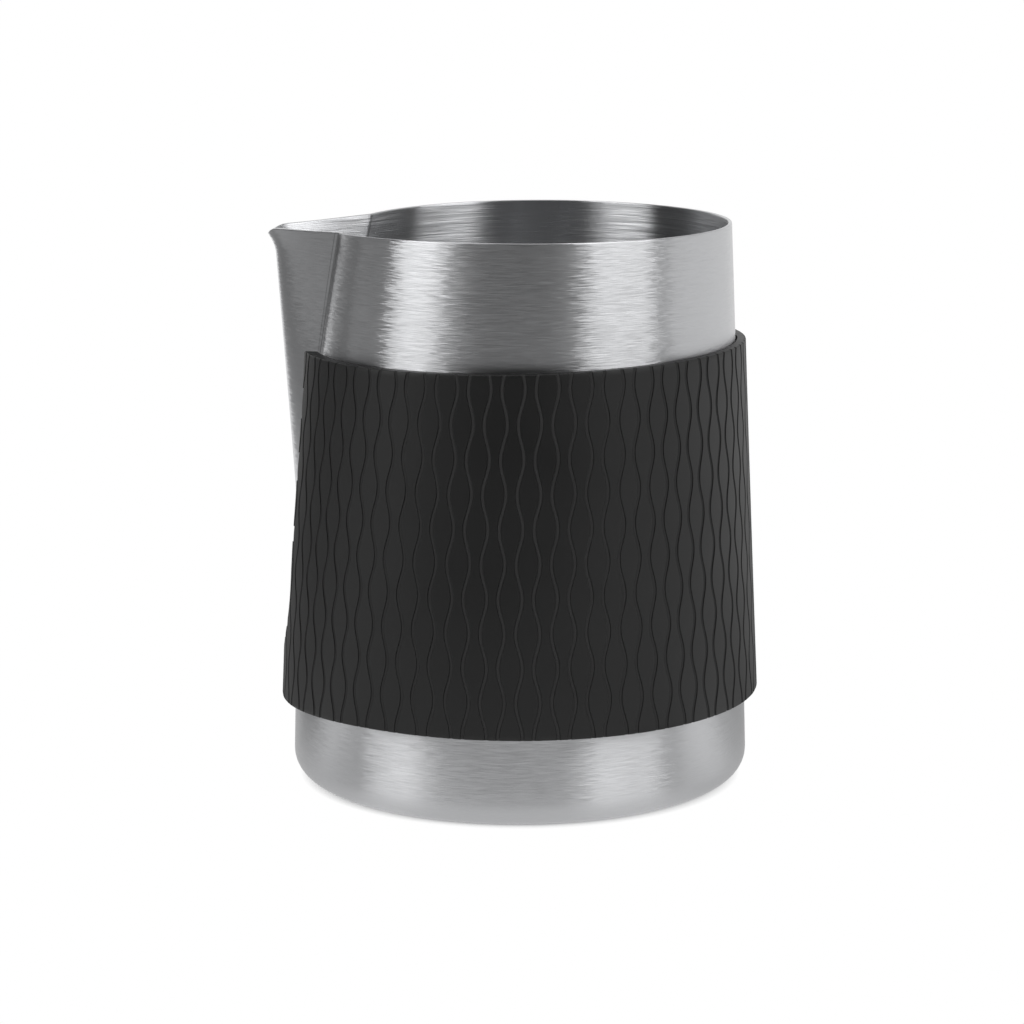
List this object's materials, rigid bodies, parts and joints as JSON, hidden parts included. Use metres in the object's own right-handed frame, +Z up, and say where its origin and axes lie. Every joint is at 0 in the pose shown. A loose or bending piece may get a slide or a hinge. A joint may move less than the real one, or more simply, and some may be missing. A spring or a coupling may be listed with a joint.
{
  "type": "milk frothing pitcher",
  "caption": "Handleless milk frothing pitcher: a tapered brushed steel cup with a sharp pressed pouring spout, held in a removable black rubber grip sleeve with wavy grooves.",
  "frame": {"origin": "on the cup's axis, at the flat underside of its base, so the pitcher stands on z = 0", "axes": "+Z up along the cup's axis; the spout points along -X; the cup is mirror symmetric about the plane y = 0"},
  "size_m": [0.0816, 0.0794, 0.0924],
  "materials": {
    "brushed_steel": "brushed round the cup",
    "black_rubber": "matt, with fine wavy grooves"
  },
  "bodies": {
    "pitcher": {"pitcher_body": "brushed_steel"},
    "sleeve": {"grip_sleeve": "black_rubber"}
  },
  "joints": [
    {"name": "sleeve_lift", "type": "slide", "parent": "pitcher", "child": "sleeve", "axis": [0, 0, 1], "range_m": [0, 0.082], "deforming": ["grip_sleeve"]}
  ]
}
